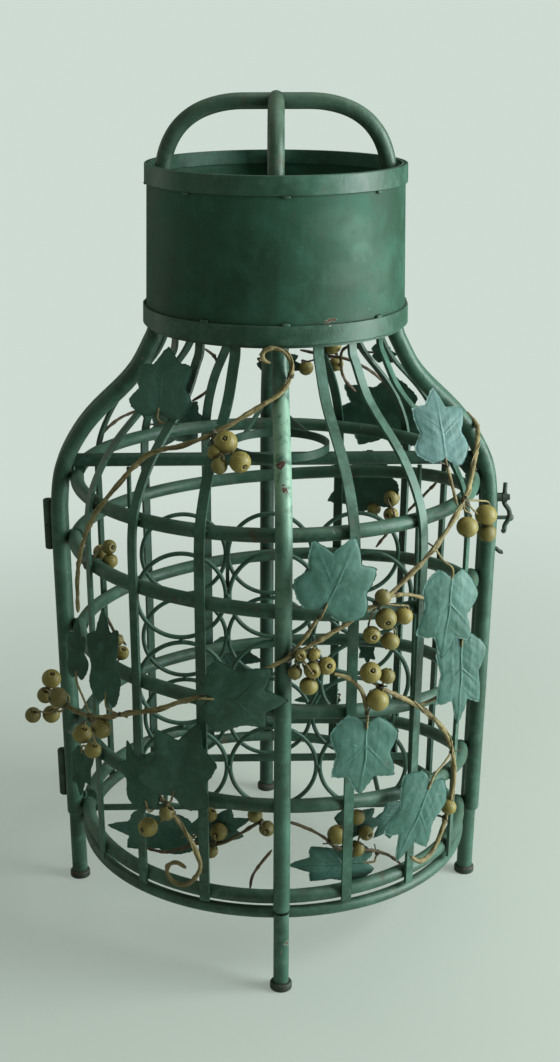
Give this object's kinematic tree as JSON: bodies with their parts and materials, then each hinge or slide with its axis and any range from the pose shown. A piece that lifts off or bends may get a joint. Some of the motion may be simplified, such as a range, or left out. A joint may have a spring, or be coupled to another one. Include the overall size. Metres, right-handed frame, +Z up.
{
  "type": "bottle-shaped wine rack cage",
  "caption": "Bottle-shaped round iron cage that holds wine bottles in an inner ring rack, with a hinged latching front, neck collar, crossed carrying arches and a leafy vine",
  "frame": {"origin": "on the floor plane, on the vertical axis of the cage, within a few millimetres of the bottom centre of the bounding box", "axes": "+Z up through the collar; -Y towards the hinged front half (the door); +X to the right of somebody facing the door, so the hinge is at -X and the latch at +X"},
  "size_m": [0.5128, 0.4806, 0.8554],
  "materials": {
    "cage_paint": "aged dark green semi-gloss enamel over red-brown primer, chipped",
    "collar_paint": "aged green-teal enamel on sheet iron, scuffed",
    "leaf_paint": "teal enamel on pressed leaves, worn along the ribs",
    "vine_bark": "ochre and brown bark-like wrap on wire",
    "bead_wood": "turned natural wood, waxed",
    "hardware_iron": "dark paint worn to iron",
    "foot_iron": "dark, rusted at the floor",
    "rack_wire": "aged dark green enamel on wire"
  },
  "bodies": {
    "frame": {"base_ring": "cage_paint", "collar_bottom_band": "collar_paint", "collar_inner_band": "collar_paint", "collar_sheet": "collar_paint", "collar_top_band": "collar_paint", "collar_weld_lugs": "collar_paint", "feet": "foot_iron", "frame_stile_left": "cage_paint", "frame_stile_right": "cage_paint", "front_leg": "cage_paint", "handle_arch_cross": "cage_paint", "handle_arch_side": "cage_paint", "hinge_frame_knuckles": "hardware_iron", "hinge_pins": "hardware_iron", "latch_keeper": "hardware_iron", "neck_hoop": "rack_wire", "rack_front_bar": "rack_wire", "rack_front_rings": "rack_wire", "rack_rear_bar": "rack_wire", "rack_rear_rings": "rack_wire", "rack_side_rods": "rack_wire", "rack_spacers": "rack_wire", "rack_top_bar": "rack_wire", "rear_beads": "bead_wood", "rear_hoop_1": "cage_paint", "rear_hoop_2": "cage_paint", "rear_hoop_3": "cage_paint", "rear_hoop_4": "cage_paint", "rear_hoop_5": "cage_paint", "rear_leaves": "leaf_paint", "rear_post": "cage_paint", "rear_straps": "cage_paint", "vine_rear": "vine_bark", "vine_rear_neck": "vine_bark"},
    "door": {"door_beads_lower": "bead_wood", "door_beads_upper": "bead_wood", "door_hoop_1": "cage_paint", "door_hoop_2": "cage_paint", "door_hoop_3": "cage_paint", "door_hoop_4": "cage_paint", "door_hoop_5": "cage_paint", "door_leaves_lower": "leaf_paint", "door_leaves_upper": "leaf_paint", "door_neck_strip": "cage_paint", "door_post": "cage_paint", "door_stile_left": "cage_paint", "door_stile_right": "cage_paint", "door_straps": "cage_paint", "door_stub": "hardware_iron", "hinge_door_knuckles": "hardware_iron", "latch_pivot": "hardware_iron", "vine_centre": "vine_bark", "vine_inner": "vine_bark", "vine_left": "vine_bark", "vine_lower_left": "vine_bark", "vine_lower_right": "vine_bark", "vine_main_left": "vine_bark", "vine_right": "vine_bark", "vine_right_stems": "vine_bark"},
    "latch": {"latch_hook": "hardware_iron"}
  },
  "joints": [
    {"name": "door_swing", "type": "hinge", "parent": "frame", "child": "door", "pos_m": [-0.22833, 0, 0], "axis": [-0.0163, 0, 0.9999], "range_deg": [-110, 0]},
    {"name": "latch_hook_swing", "type": "hinge", "parent": "door", "child": "latch", "pos_m": [0.2391, -0.0088, 0.4475], "axis": [1, 0, 0], "range_deg": [-322, 0]}
  ]
}
